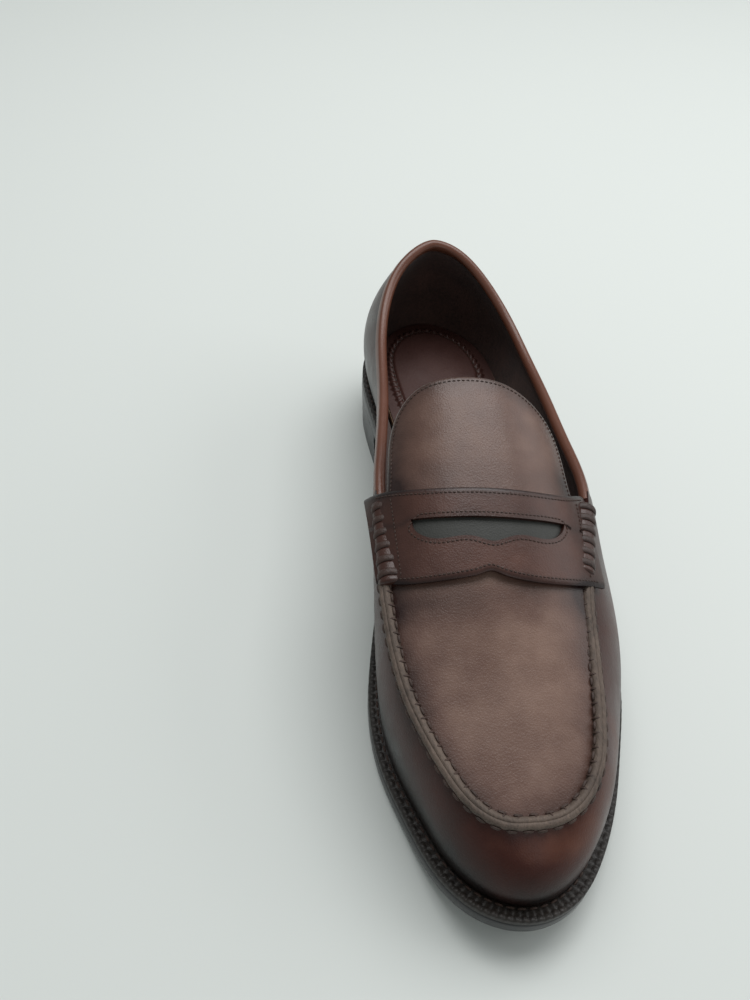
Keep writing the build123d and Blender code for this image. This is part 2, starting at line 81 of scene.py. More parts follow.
# Crown of the apron and tongue: y, centre x, height of the middle, radius across.
CROWN = np.array([
    (-150.0, -9.8, 40.5, 120.0),
    (-129.0, -9.8, 46.6, 118.0),
    (-105.0, -9.8, 53.0, 112.0),
    (-80.0, -9.8, 60.7, 98.0),
    (-55.0, -9.6, 70.4, 70.0),
    (-30.0, -8.6, 80.2, 56.0),
    (-5.0, -7.2, 89.2, 47.0),
    (15.0, -6.6, 96.0, 41.0),
    (32.0, -6.6, 101.0, 37.5),
])
TONGUE = [
    (29.2, -7.0), (28.6, 5.0), (25.6, 14.5), (17.4, 20.8), (6.6, 24.6), (-5.8, 26.2), (-18.6, 27.4),
    (-27.6, 27.0), (-34.4, 23.2), (-39.0, 15.0), (-41.0, 5.0), (-42.8, -8.0),
]
STRAP_FRONT = [(-48.6, -42.6), (-39.2, -47.2), (-29.0, -49.4), (-19.0, -49.9), (-14.0, -49.4), (-10.4, -48.7),
               (-7.2, -49.9), (-2.8, -51.4), (7.8, -52.6), (19.8, -51.4), (34.2, -47.4)]
STRAP_REAR = [(-48.6, -4.6), (-33.0, -14.0), (-23.8, -17.0), (-14.8, -18.8), (-3.6, -20.0), (7.6, -20.0),
              (25.0, -15.8), (34.2, -8.4)]
SLOT_TOP = [(-34.8, -25.0), (-28.4, -26.8), (-16.2, -29.2), (-5.0, -30.4), (5.8, -30.6), (19.8, -29.2)]
SLOT_BOTTOM = [(-34.8, -25.6), (-34.3, -28.6), (-31.8, -32.2), (-26.2, -35.2), (-18.0, -35.8),
               (-13.0, -37.2), (-8.6, -38.8), (-3.6, -37.8), (2.4, -36.6), (10.6, -37.0), (15.0, -35.6),
               (18.8, -31.8), (19.8, -29.6)]

TOE_SPRING, HEEL_HEIGHT = 11.0, 19.5
BALL_FRONT, BALL_BACK, HEEL_BREAST, LENGTH_HALF = -85.0, -45.0, 75.0, 151.0
OUTSOLE, WELT_TOP, SOCK_TOP = 6.5, 10.0, 15.2
UPPER, STAY, LINING, STRAP_BACKING, STRAP = 1.6, 2.6, 3.6, 0.8, 2.4
MARGIN_INSET = 18.0


def tread(y):
    """Height of the tread line above the floor."""
    y = np.asarray(y, float)
    toe = TOE_SPRING * (np.clip(BALL_FRONT - y, 0, None) / (BALL_FRONT + LENGTH_HALF)) ** 2
    step = np.clip((y - BALL_BACK) / (HEEL_BREAST - BALL_BACK), 0, 1)
    return toe + HEEL_HEIGHT * (3 * step ** 2 - 2 * step ** 3)


def periodic_spline(knots, values):
    """Second derivatives of the closed cubic spline; knots has one more entry than values."""
    n = len(values)
    h = np.diff(knots)
    system = np.zeros((n, n))
    right = np.zeros(values.shape)
    for i in range(n):
        before, after = (i - 1) % n, (i + 1) % n
        system[i, before] += h[before]
        system[i, i] += 2 * (h[before] + h[i])
        system[i, after] += h[i]
        right[i] = 6 * ((values[after] - values[i]) / h[i] - (values[i] - values[before]) / h[before])
    return np.linalg.solve(system, right)


GAPS = np.linalg.norm(np.roll(STATIONS[:, :2], -1, 0) - STATIONS[:, :2], axis=1)
KNOTS = np.concatenate([[0.0], np.cumsum(GAPS)])
BEND = periodic_spline(KNOTS, STATIONS)


def station(row):
    """All seven values and their rate of change, at any fractional row number."""
    row = np.atleast_1d(np.asarray(row, float)) % COUNT
    i = row.astype(int) % COUNT
    j = (i + 1) % COUNT
    h = GAPS[i][:, None]
    b = (row - i)[:, None] * h
    a = h - b
    value = (BEND[i] * a ** 3 + BEND[j] * b ** 3) / (6 * h) + (STATIONS[i] / h - BEND[i] * h / 6) * a \
        + (STATIONS[j] / h - BEND[j] * h / 6) * b
    rate = (BEND[j] * b ** 2 - BEND[i] * a ** 2) / (2 * h) + (STATIONS[j] - STATIONS[i]) / h \
        - (BEND[j] - BEND[i]) * h / 6
    return value, rate


def edge_frame(row):
    """Sole edge in plan and the horizontal outward direction there."""
    value, rate = station(row)
    side = np.stack([rate[:, 1], -rate[:, 0]], 1)
    return value, side / np.linalg.norm(side, axis=1)[:, None]


def wall(row, t, depth=0.0):
    """Points of the upper's wall: row round the shoe, t from welt to top edge, depth into the leather."""
    row = np.atleast_1d(np.asarray(row, float))
    t = np.broadcast_to(np.asarray(t, float), row.shape)
    value, side = edge_frame(row)
    foot = value[:, :2] - side * value[:, 2:3]
    base = tread(foot[:, 1]) + WELT_TOP
    rise = value[:, 4] - base
    inset, belly, shoulder = value[:, 3], value[:, 5], value[:, 6]
    zero = np.zeros_like(rise)
    xs = [zero, belly, shoulder - inset, -inset]
    zs = [zero, 0.45 * rise, 0.78 * rise, rise]
    blend = [(1 - t) ** 3, 3 * t * (1 - t) ** 2, 3 * t * t * (1 - t), t ** 3]
    slope = [(1 - t) ** 2, 2 * t * (1 - t), t * t]
    x = sum(b * v for b, v in zip(blend, xs))
    z = sum(b * v for b, v in zip(blend, zs))
    dx = sum(s * (xs[i + 1] - xs[i]) for i, s in enumerate(slope))
    dz = sum(s * (zs[i + 1] - zs[i]) for i, s in enumerate(slope))
    size = np.hypot(dx, dz)
    x = x - depth * dz / size
    z = z + depth * dx / size
    plan = foot + side * x[:, None]
    return np.column_stack([plan, base + z])


def spline_through(points, count):
    """Evenly spaced points on a smooth open curve through the given ones."""
    points = np.asarray(points, float)
    chord = np.concatenate([[0], np.cumsum(np.linalg.norm(np.diff(points, axis=0), axis=1))])
    fine = np.linspace(0, chord[-1], count * 4)
    n = len(points)
    h = np.diff(chord)
    system = np.eye(n)
    right = np.zeros(points.shape)
    for i in range(1, n - 1):
        system[i, i - 1], system[i, i], system[i, i + 1] = h[i - 1], 2 * (h[i - 1] + h[i]), h[i]
        right[i] = 6 * ((points[i + 1] - points[i]) / h[i] - (points[i] - points[i - 1]) / h[i - 1])
    bend = np.linalg.solve(system, right)
    i = np.clip(np.searchsorted(chord, fine, side="right") - 1, 0, n - 2)
    hh = h[i][:, None]
    b = (fine - chord[i])[:, None]
    a = hh - b
    curve = (bend[i] * a ** 3 + bend[i + 1] * b ** 3) / (6 * hh) + (points[i] / hh - bend[i] * hh / 6) * a \
        + (points[i + 1] / hh - bend[i + 1] * hh / 6) * b
    return resample(curve, count)


def resample(curve, count):
    """The same open polyline with evenly spaced points."""
    run = np.concatenate([[0], np.cumsum(np.linalg.norm(np.diff(curve, axis=0), axis=1))])
    even = np.linspace(0, run[-1], count)
    return np.column_stack([np.interp(even, run, curve[:, k]) for k in range(curve.shape[1])])


CROWN_FINE = spline_through(CROWN, 600)


def crown(x, y, above=0.0):
    """Points over the crown surface, and outward normals."""
    x, y = np.asarray(x, float), np.asarray(y, float)
    middle, top, radius = (np.interp(y, CROWN_FINE[:, 0], CROWN_FINE[:, k]) for k in (1, 2, 3))
    behind, ahead = (np.interp(y + step, CROWN_FINE[:, 0], CROWN_FINE[:, 2]) for step in (1, -1))
    slope = (behind - ahead) / 2
    side = np.clip(x - middle, -0.97 * radius, 0.97 * radius)
    drop = np.sqrt(radius ** 2 - side ** 2)
    normal = np.stack([side / radius, -slope * drop / radius, drop / radius], -1)
    normal /= np.linalg.norm(normal, axis=-1)[..., None]
    point = np.stack([x, y, top - radius + drop], -1)
    return point + normal * np.asarray(above)[..., None], normal


# ---------------------------------------------------------------- mesh helpers
def make_object(name, points, faces, material, shade=None, smooth=True):
    """Mesh object from millimetre points; shade is a per-vertex tone from 0, dark, to 1, light."""
    mesh = bpy.data.meshes.new(name)
    mesh.from_pydata([tuple(p) for p in np.asarray(points) * MM], [], [tuple(f) for f in faces])
    mesh.validate()
    if shade is not None:
        layer = mesh.attributes.new("tone", "FLOAT", "POINT")
        layer.data.foreach_set("value", np.asarray(shade, np.float32))
    if smooth:
        mesh.polygons.foreach_set("use_smooth", [True] * len(mesh.polygons))
    mesh.update()
    obj = bpy.data.objects.new(name, mesh)
    bpy.context.scene.collection.objects.link(obj)
    obj.data.materials.append(material)
    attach(obj, "root")
    return obj


def skin_faces(rows, cols, start, flip=False, wrap=False):
    faces = []
    for i in range(rows if wrap else rows - 1):
        for j in range(cols - 1):
            a, b = start + i * cols + j, start + ((i + 1) % rows) * cols + j
            quad = (a, b, b + 1, a + 1)
            faces.append(quad[::-1] if flip else quad)
    return faces


def slab(outer, inner, wrap=False):
    """Closed solid between two matching grids of points, rows by columns."""
    rows, cols = outer.shape[:2]
    points = np.concatenate([outer.reshape(-1, 3), inner.reshape(-1, 3)])
    low = rows * cols
    faces = skin_faces(rows, cols, 0, wrap=wrap) + skin_faces(rows, cols, low, True, wrap)
    for i in range(rows if wrap else rows - 1):
        a, b = i * cols, ((i + 1) % rows) * cols
        faces.append((a, a + low, b + low, b))
        faces.append((b + cols - 1, b + cols - 1 + low, a + cols - 1 + low, a + cols - 1))
    if not wrap:
        for j in range(cols - 1):
            last = (rows - 1) * cols + j
            faces.append((j, j + 1, j + 1 + low, j + low))
            faces.append((last + 1, last, last + low, last + 1 + low))
    return points, faces


def tube(path, axis_a, axis_b, section, wrap=False):
    """Sweep of a closed section, given as pairs along two axis arrays, with flat end caps."""
    section = np.asarray(section, float)
    rings = path[:, None] + axis_a[:, None] * section[None, :, :1] + axis_b[:, None] * section[None, :, 1:]
    n, m = rings.shape[:2]
    faces = []
    for i in range(n if wrap else n - 1):
        for j in range(m):
            k, following = (j + 1) % m, (i + 1) % n
            faces.append((i * m + j, following * m + j, following * m + k, i * m + k))
    if not wrap:
        faces.append(tuple(range(m)))
        faces.append(tuple(range((n - 1) * m, n * m))[::-1])
    return rings.reshape(-1, 3), faces


def ellipse(a, b, count=20):
    angle = np.linspace(0, 2 * math.pi, count, endpoint=False)
    return np.column_stack([a * np.cos(angle), b * np.sin(angle)])


def unit(vectors):
    return vectors / np.linalg.norm(vectors, axis=-1)[..., None]


def merge(parts):
    points, faces, base = [], [], 0
    for p, f in parts:
        points.append(p)
        faces += [tuple(k + base for k in face) for face in f]
        base += len(p)
    return np.concatenate(points), faces


def thread(path, normals, pitch, length, radius, sink=0.25):
    """Row of separate stitches laid along a path: short rounded bars whose ends dip into the leather."""
    run = np.concatenate([[0], np.cumsum(np.linalg.norm(np.diff(path, axis=0), axis=1))])
    total = run[-1]
    count = max(int(total / pitch), 1)
    parts = []
    profile = np.array([-1.0, -0.85, -0.5, 0, 0.5, 0.85, 1.0])
    for k in range(count):
        middle = (k + 0.5) * total / count
        at = np.clip(middle + profile * length / 2, 0, total)
        p = np.column_stack([np.interp(at, run, path[:, c]) for c in range(3)])
        n = unit(np.column_stack([np.interp(at, run, normals[:, c]) for c in range(3)]))
        along = unit(np.gradient(p, axis=0) + 1e-9)
        across = unit(np.cross(along, n))
        size = np.sqrt(np.clip(1.02 - profile ** 4, 0.03, 1))
        p = p + n * (radius * 0.5 - sink * profile[:, None] ** 2)
        ring = ellipse(radius, radius * 0.85, 8)
        offsets = across[:, None] * ring[None, :, :1] + n[:, None] * ring[None, :, 1:]
        rings = p[:, None] + offsets * size[:, None, None]
        m = len(ring)
        faces = [(i * m + j, (i + 1) * m + j, (i + 1) * m + (j + 1) % m, i * m + (j + 1) % m)
                 for i in range(len(at) - 1) for j in range(m)]
        faces += [tuple(range(m)), tuple(range((len(at) - 1) * m, len(at) * m))[::-1]]
        parts.append((rings.reshape(-1, 3), faces))
    return merge(parts)


def recalc(obj):
    """Make all face normals point out of the closed solids."""
    bm = bmesh.new()
    bm.from_mesh(obj.data)
    bmesh.ops.remove_doubles(bm, verts=bm.verts, dist=2e-6)
    bmesh.ops.recalc_face_normals(bm, faces=bm.faces)
    bm.to_mesh(obj.data)
    bm.free()
    return obj


def sharpen(obj, degrees=40):
    obj.data.set_sharp_from_angle(angle=math.radians(degrees))
    return obj


def place(name, data, material, nodes, shade=None, sharp=40):
    points, faces = data
    obj = sharpen(recalc(make_object(name, points, faces, material, shade)), sharp)
    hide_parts(*nodes)
    return obj


# ---------------------------------------------------------------- materials
def new_material(name):
    material = bpy.data.materials.new(name)
    material.use_nodes = True
    nodes = material.node_tree.nodes
    return material, nodes, material.node_tree.links, nodes["Principled BSDF"]


def noise(nodes, links, coord, scale, detail=4.0, rough=0.5):
    node = nodes.new("ShaderNodeTexNoise")
    node.inputs["Scale"].default_value = scale
    node.inputs["Detail"].default_value = detail
    node.inputs["Roughness"].default_value = rough
    links.new(coord, node.inputs["Vector"])
    return node.outputs["Fac"]


def ramp(nodes, links, value, stops):
    node = nodes.new("ShaderNodeValToRGB")
    while len(node.color_ramp.elements) < len(stops):
        node.color_ramp.elements.new(0.5)
    for element, (at, colour) in zip(node.color_ramp.elements, stops):
        element.position = at
        element.color = (*colour, 1)
    links.new(value, node.inputs["Fac"])
    return node.outputs["Color"]


def maths(nodes, links, kind, a, b=0.0, clamp=False):
    node = nodes.new("ShaderNodeMath")
    node.operation = kind
    node.use_clamp = clamp
    for socket, value in ((node.inputs[0], a), (node.inputs[1], b)):
        if isinstance(value, (int, float)):
            socket.default_value = value
        else:
            links.new(value, socket)
    return node.outputs[0]


def leather(name, dark, mid, light, rough=0.36, grain=1.0, toned=True, coat=0.12, mottle=0.5,
            shine=0.38):
    """Burnished calf: tone attribute from dark to light, which carries painted shade and painted highlights,
    cloudy patina, fine pebble and pores.
    """
    material, nodes, links, shader = new_material(name)
    coord = nodes.new("ShaderNodeTexCoord").outputs["Object"]
    clouds = noise(nodes, links, coord, 28.0, 3.0, 0.55)
    patches = noise(nodes, links, coord, 70.0, 4.0, 0.6)
    if toned:
        tone = nodes.new("ShaderNodeAttribute")
        tone.attribute_name = "tone"
        tone = tone.outputs["Fac"]
    else:
        tone = maths(nodes, links, "ADD", maths(nodes, links, "MULTIPLY", clouds, 0.0), 0.5)
    shift = maths(nodes, links, "MULTIPLY", maths(nodes, links, "SUBTRACT", clouds, 0.5), mottle)
    fine = maths(nodes, links, "MULTIPLY", maths(nodes, links, "SUBTRACT", patches, 0.5), mottle * 0.6)
    level = maths(nodes, links, "ADD", maths(nodes, links, "ADD", tone, shift), fine, True)
    colour = ramp(nodes, links, level, [(0.0, dark), (0.5, mid), (1.0, light)])
    pores = nodes.new("ShaderNodeTexVoronoi")
    pores.inputs["Scale"].default_value = 1500.0
    links.new(coord, pores.inputs["Vector"])
    grit = noise(nodes, links, coord, 2600.0, 3.0, 0.6)
    links.new(colour, shader.inputs["Base Color"])
    spread = maths(nodes, links, "MULTIPLY", maths(nodes, links, "SUBTRACT", patches, 0.5), 0.28)
    speck = maths(nodes, links, "MULTIPLY", maths(nodes, links, "SUBTRACT", grit, 0.5), 0.2)
    uneven = maths(nodes, links, "ADD", spread, speck)
    links.new(maths(nodes, links, "ADD", uneven, rough), shader.inputs["Roughness"])
    height = maths(nodes, links, "ADD", maths(nodes, links, "MULTIPLY", pores.outputs["Distance"], 0.6),
                   maths(nodes, links, "MULTIPLY", grit, 0.5))
    creases = noise(nodes, links, coord, 160.0, 6.0, 0.65)
    height = maths(nodes, links, "ADD", height, maths(nodes, links, "MULTIPLY", creases, 1.6))
    bump = nodes.new("ShaderNodeBump")
    bump.inputs["Strength"].default_value = 0.22 * grain
    bump.inputs["Distance"].default_value = 0.0003
    links.new(height, bump.inputs["Height"])
    links.new(bump.outputs["Normal"], shader.inputs["Normal"])
    shader.inputs["Specular IOR Level"].default_value = shine
    shader.inputs["Coat Weight"].default_value = coat
    shader.inputs["Coat Roughness"].default_value = 0.22
    return material


def fibrous(name, dark, light, rough=0.75, scale=900.0, stretch=(1, 1, 1), bump_size=0.0004, strength=0.5,
            sheen=0.0):
    """Rough fibrous surface: thread, raw leather edge, napped lining, board or cork."""
    material, nodes, links, shader = new_material(name)
    coord = nodes.new("ShaderNodeTexCoord").outputs["Object"]
    mapping = nodes.new("ShaderNodeMapping")
    mapping.inputs["Scale"].default_value = stretch
    links.new(coord, mapping.inputs["Vector"])
    strands = noise(nodes, links, mapping.outputs["Vector"], scale, 5.0, 0.65)
    broad = noise(nodes, links, coord, 90.0, 3.0, 0.5)
    value = maths(nodes, links, "ADD", maths(nodes, links, "MULTIPLY", strands, 0.6),
                  maths(nodes, links, "MULTIPLY", broad, 0.4))
    links.new(ramp(nodes, links, value, [(0.3, dark), (0.7, light)]), shader.inputs["Base Color"])
    links.new(maths(nodes, links, "ADD", maths(nodes, links, "MULTIPLY", strands, 0.2), rough - 0.1),
              shader.inputs["Roughness"])
    bump = nodes.new("ShaderNodeBump")
    bump.inputs["Strength"].default_value = strength
    bump.inputs["Distance"].default_value = bump_size
    links.new(strands, bump.inputs["Height"])
    links.new(bump.outputs["Normal"], shader.inputs["Normal"])
    shader.inputs["Sheen Weight"].default_value = sheen
    return material


UPPER_CALF = leather("upper_calf", (0.0035, 0.0016, 0.0014), (0.050, 0.013, 0.009), (0.150, 0.056, 0.034),
                     0.34, coat=0.02, mottle=0.75, shine=0.24)
# painted sheen: the apron's colours are lighter and greyer than the other calf, standing in for a reflected
# sheen
APRON_CALF_PAINTED_SHEEN = leather("apron_calf_with_painted_sheen", (0.020, 0.008, 0.007), (0.112, 0.060, 0.046), (0.230, 0.142, 0.108),
                     0.36, 1.3, coat=0.08, mottle=0.85)
STRAP_CALF = leather("strap_calf", (0.009, 0.003, 0.003), (0.052, 0.019, 0.013), (0.125, 0.050, 0.034),
                     0.36, 1.1, coat=0.06, mottle=0.8)
BINDING_CALF = leather("binding_calf", (0.030, 0.010, 0.006), (0.105, 0.036, 0.020), (0.150, 0.056, 0.034),
                       0.34, 0.7)
SOCK_CALF = leather("sock_calf", (0.016, 0.006, 0.005), (0.050, 0.018, 0.014), (0.085, 0.036, 0.028),
                    0.5, 0.9, toned=False, coat=0.02)
SLOT_BACKING = leather("slot_backing", (0.010, 0.010, 0.009), (0.028, 0.029, 0.026), (0.055, 0.056, 0.050),
                       0.5, 1.0, toned=False, coat=0.02)
NAPPED_LINING = fibrous("napped_lining", (0.018, 0.008, 0.006), (0.078, 0.034, 0.025), 0.85, 700.0,
                        sheen=0.12)
SEAM_EDGE = fibrous("seam_edge", (0.040, 0.028, 0.022), (0.155, 0.112, 0.088), 0.7, 1200.0, (1, 0.35, 1),
                    0.0006)
THREAD = fibrous("waxed_thread", (0.014, 0.006, 0.004), (0.060, 0.028, 0.018), 0.6, 2600.0)
LACE_CALF = fibrous("lace_calf", (0.012, 0.005, 0.004), (0.050, 0.021, 0.014), 0.5, 1500.0)
WELT_BLACK = fibrous("welt_black", (0.004, 0.003, 0.003), (0.022, 0.015, 0.011), 0.5, 800.0)
EDGE_BLACK = leather("edge_black", (0.010, 0.010, 0.011), (0.022, 0.022, 0.024), (0.050, 0.050, 0.054),
                     0.36, 0.5, toned=False, coat=0.2)
SOLE_TAN = fibrous("insole_tan", (0.20, 0.12, 0.07), (0.36, 0.24, 0.15), 0.7)
BOARD = fibrous("stiffening_board", (0.40, 0.36, 0.30), (0.62, 0.58, 0.50), 0.9)
CORK = fibrous("granulated_cork", (0.16, 0.09, 0.05), (0.45, 0.31, 0.19), 0.9, 350.0)
STEEL = fibrous("plain_steel", (0.45, 0.45, 0.46), (0.60, 0.60, 0.61), 0.35, 900.0)
STEEL.node_tree.nodes["Principled BSDF"].inputs["Metallic"].default_value = 1.0

# ---------------------------------------------------------------- upper walls
VAMP_FIRST, VAMP_LAST = 7.0, 23.0
PROUD = 0.45                 # the vamp laps over the quarters
APRON_ROWS, SEAM_ROWS = (8.0, 22.0), (9.0, 21.0)
MEDIAL_ROLL, LATERAL_ROLL = (9.15, 7.35), (20.8, 22.6)
BINDING_TALL = 4.4
SEAM_PITCH, STRAP_PITCH, TONGUE_PITCH, WELT_PITCH, PAD_PITCH = 5.2, 1.6, 1.8, 3.8, 3.0
STRAP_STITCH_IN, SLOT_STITCH_OUT, TONGUE_STITCH_IN, PAD_STITCH_IN = 1.9, 1.5, 1.9, 4.0
ROLL_HALF_WIDE, ROLL_HALF_HIGH, ROLL_RISE, ROLL_IN = 4.3, 2.7, 2.3, 2.4
WRAPS, WRAP_FIRST, WRAP_STEP = 6, 0.1, 0.16
GATHER_PITCH = 4.0
WELT_RIBS, STEPS_PER_RIB = 190, 10


def smoothstep(low, high, value):
    s = np.clip((value - low) / (high - low), 0, 1)
    return s * s * (3 - 2 * s)


def wall_grid(rows, ts, depth):
    return np.stack([wall(rows, t, depth) for t in ts], 1)


def wall_end(rows, below):
    """Profile parameter a distance below the wall's top edge."""
    step = wall(rows, 1.0) - wall(rows, 0.98)
    return 1.0 - 0.02 * below / np.linalg.norm(step, axis=1)


def wall_panel(first, last, steps, outer, inner, below=0.0, rows_t=40):
    """Leather panel of the wall: a slab between two depths, ending a given distance below the wall's top
    edge.
    """
    rows = np.linspace(first, last, steps)
    end = wall_end(rows, below)
    ts = np.linspace(0.0, 1.0, rows_t)
    outside = np.stack([wall(rows, t * end, outer) for t in ts], 1)
    inside = np.stack([wall(rows, t * end, inner) for t in ts], 1)
    return rows, ts, slab(outside, inside)


def wall_tone(rows, ts, base, painted_foot_shade, painted_side_shade=0.0):
    """Tone of the wall: painted shade dark at the welt, a painted highlight lighter mid wall at the toe,
    painted shade on the sides and along the medial side, a little darker at the seam.
    """
    t = np.broadcast_to(ts[None, :], (len(rows), len(ts)))
    r = np.broadcast_to(rows[:, None], t.shape)
    # painted shade: darker low on the wall toward the welt
    tone = base - painted_foot_shade * (1 - smoothstep(0.0, 0.62, t)) - 0.10 * smoothstep(0.85, 1.0, t)
    front = np.exp(-((r - 15) / 3.4) ** 2)
    # painted highlight: a lighter band mid wall at the toe front; painted shade: the sides darker than the
    # front
    tone = tone + 0.16 * front * np.exp(-((t - 0.72) / 0.16) ** 2) - painted_side_shade * (1 - front)
    # painted shade: the medial side is darker up to the toe, as if shaded by the other shoe of the pair
    tone = tone - 0.16 * (1 - smoothstep(11.0, 15.0, r))
    return np.concatenate([tone.ravel(), tone.ravel()])


def build_walls():
    rows, ts, data = wall_panel(VAMP_FIRST, VAMP_LAST, 260, -PROUD, UPPER - PROUD, rows_t=48)
    place("vamp_upper", data, UPPER_CALF, ["vamp"], wall_tone(rows, ts, 0.50, 0.50, 0.06))
    for name, first, last, node in (("quarter_medial_upper", 0, 7.12, "quarter_medial"),
                                    ("quarter_lateral_upper", 22.88, 30, "quarter_lateral")):
        rows, ts, data = wall_panel(first, last, 150, 0.0, UPPER, 3.4)
        # painted shade: the quarters get a lower base tone than the vamp, matched to the shaded medial
        # quarter
        place(name, data, UPPER_CALF, [node], wall_tone(rows, ts, 0.36, 0.30))
    _, _, data = wall_panel(VAMP_FIRST, VAMP_LAST, 160, STAY, LINING, rows_t=30)
    place("vamp_lining_skin", data, NAPPED_LINING, ["vamp_lining"])
    _, _, data = wall_panel(VAMP_LAST - 0.1, COUNT + VAMP_FIRST + 0.1, 220, STAY, LINING, 3.0)
    place("quarter_lining_skin", data, NAPPED_LINING, ["quarter_lining"])


def build_stiffeners():
    """Hidden boards between the upper and the lining, on the same smooth wall."""
    for name, node, first, last, high in (("counter_board", "heel_counter", 26.6, 33.4, 0.72),
                                          ("toe_puff_board", "toe_puff", 11.6, 18.4, 0.80),
                                          ("stay_medial_board", "side_stay_medial", 8.2, 11.4, 0.85),
                                          ("stay_lateral_board", "side_stay_lateral", 18.6, 21.8, 0.85)):
        rows, ts = np.linspace(first, last, 60), np.linspace(0.04, high, 20)
        data = slab(wall_grid(rows, ts, UPPER + 0.15), wall_grid(rows, ts, STAY - 0.15))
        place(name, data, BOARD, [node])


def build_back_strip():
    rows = np.linspace(-0.36, 0.36, 17)
    ts = np.linspace(0.02, 0.93, 60)
    width = 1.0 - 0.25 * ts
    outside = np.stack([wall(rows * w, t, -0.85) for t, w in zip(ts, width)], 1)
    inside = np.stack([wall(rows * w, t, 0.2) for t, w in zip(ts, width)], 1)
    # painted shade: the back strip darkens toward the welt
    tone = np.tile(0.5 - 0.35 * (1 - smoothstep(0, 0.5, ts)), len(rows) * 2)
    place("back_strip_leather", slab(outside, inside), UPPER_CALF, ["back_strip"], tone)


def build_binding():
    """Rolled edge along the topline, from beef roll round the heel to beef roll."""
    rows = np.linspace(VAMP_LAST - 0.15, COUNT + VAMP_FIRST + 0.15, 420)
    top = wall(rows, 1.0, LINING / 2)
    base = wall(rows, wall_end(rows, 3.8), LINING / 2)
    up = unit(top - base)
    across = unit(wall(rows, 1.0, 0.0) - wall(rows, 1.0, LINING))
    half, tall = LINING / 2 + 0.45, BINDING_TALL
    angle = np.linspace(0, math.pi, 13)
    dome = np.column_stack([half * np.cos(angle), tall - half * 0.9 + half * 0.9 * np.sin(angle)])
    section = np.concatenate([[(half * 0.92, -0.4), (half, 0.5)], dome,
                              [(-half, 0.5), (-half * 0.92, -0.4)]])
    data = tube(base, across, up, section)
    # painted shade: the foot of the roll, where it meets the wall, is darker than its crown
    tone = np.tile(0.62 - 0.22 * (section[:, 1] < 1.2), len(rows))
    place("topline_roll", data, BINDING_CALF, ["topline_binding"], tone, 60)


# ---------------------------------------------------------------- apron, seam, strap
RIDGE_ROWS = np.linspace(*APRON_ROWS, 240)


def apron_outline(inset=0.0):
    """Closed plan outline of the apron and tongue."""
    ridge = wall(RIDGE_ROWS, 1.0)[:, :2]
    free = spline_through([ridge[-1]] + TONGUE + [ridge[0]], 160)[1:-1]
    outline = np.concatenate([ridge, free])
    if inset:
        forward = np.roll(outline, -3, 0) - np.roll(outline, 3, 0)
        inward = unit(np.column_stack([-forward[:, 1], forward[:, 0]]))
        outline = outline + inward * inset
    return outline


def crown_sheet(outline, rings, high, low, spine=(-104.0, 4.0), roll=0.8):
    """Sheet over the crown inside a closed outline, its edge rolled down; rings run from the middle out."""
    centre = np.column_stack([np.full(len(outline), -9.0), np.clip(outline[:, 1], *spine)])
    rs = 1 - (1 - np.linspace(0, 1, rings)) ** 1.6
    plan = centre[:, None] + (outline - centre)[:, None] * rs[None, :, None]
    from_edge = np.linalg.norm(outline - centre, axis=1)[:, None] * (1 - rs)[None, :]
    droop = roll * np.clip(1 - from_edge / 1.2, 0, 1) ** 2
    top, _ = crown(plan[..., 0], plan[..., 1], high - droop)
    bottom, _ = crown(plan[..., 0], plan[..., 1], np.full(droop.shape, low))
    return slab(top, bottom, wrap=True), plan, from_edge


def build_apron():
    outline = apron_outline()
    data, plan, from_edge = crown_sheet(outline, 44, 0.0, -STAY, roll=0.7)
    x, y = plan[..., 0], plan[..., 1]
    edge_dark = 0.34 * np.exp(-(from_edge / 7.0) ** 2)
    # painted highlight: a lighter patch on the toe
    painted_toe_highlight = 0.10 * np.exp(-((y + 88) / 26) ** 2 - ((x + 8) / 24) ** 2)
    # painted shadow on the apron in front of and behind the strap
    painted_strap_shadow = 0.26 * np.exp(-((y + 56) / 7) ** 2) + 0.22 * np.exp(-((y + 12) / 8) ** 2)
    # painted shade: the crown's sides turn darker
    painted_side_shade = 0.16 * np.clip(np.abs(x + 8) / 34, 0, 1) ** 3
    # the base tone of 0.62 is raised as painted sheen
    tone = 0.62 + painted_toe_highlight - edge_dark - painted_strap_shadow - painted_side_shade
    tone = np.concatenate([tone.ravel(), tone.ravel()])
    place("apron_leather", data, APRON_CALF_PAINTED_SHEEN, ["apron", "apron_lining"], tone)


def seam_frames(rows):
    """Top edge of the wall with sideways and upward unit directions of the raised seam."""
    top = wall(rows, 1.0)
    normal = unit(top - wall(rows, 1.0, 1.0))
    up = unit(normal + np.array([0, 0, 1.0]))
    along = unit(np.gradient(top, axis=0))
    side = unit(np.cross(up, along))
    _, outward = edge_frame(rows)
    side *= np.sign((side[:, :2] * outward).sum(1))[:, None]
    return top, side, up


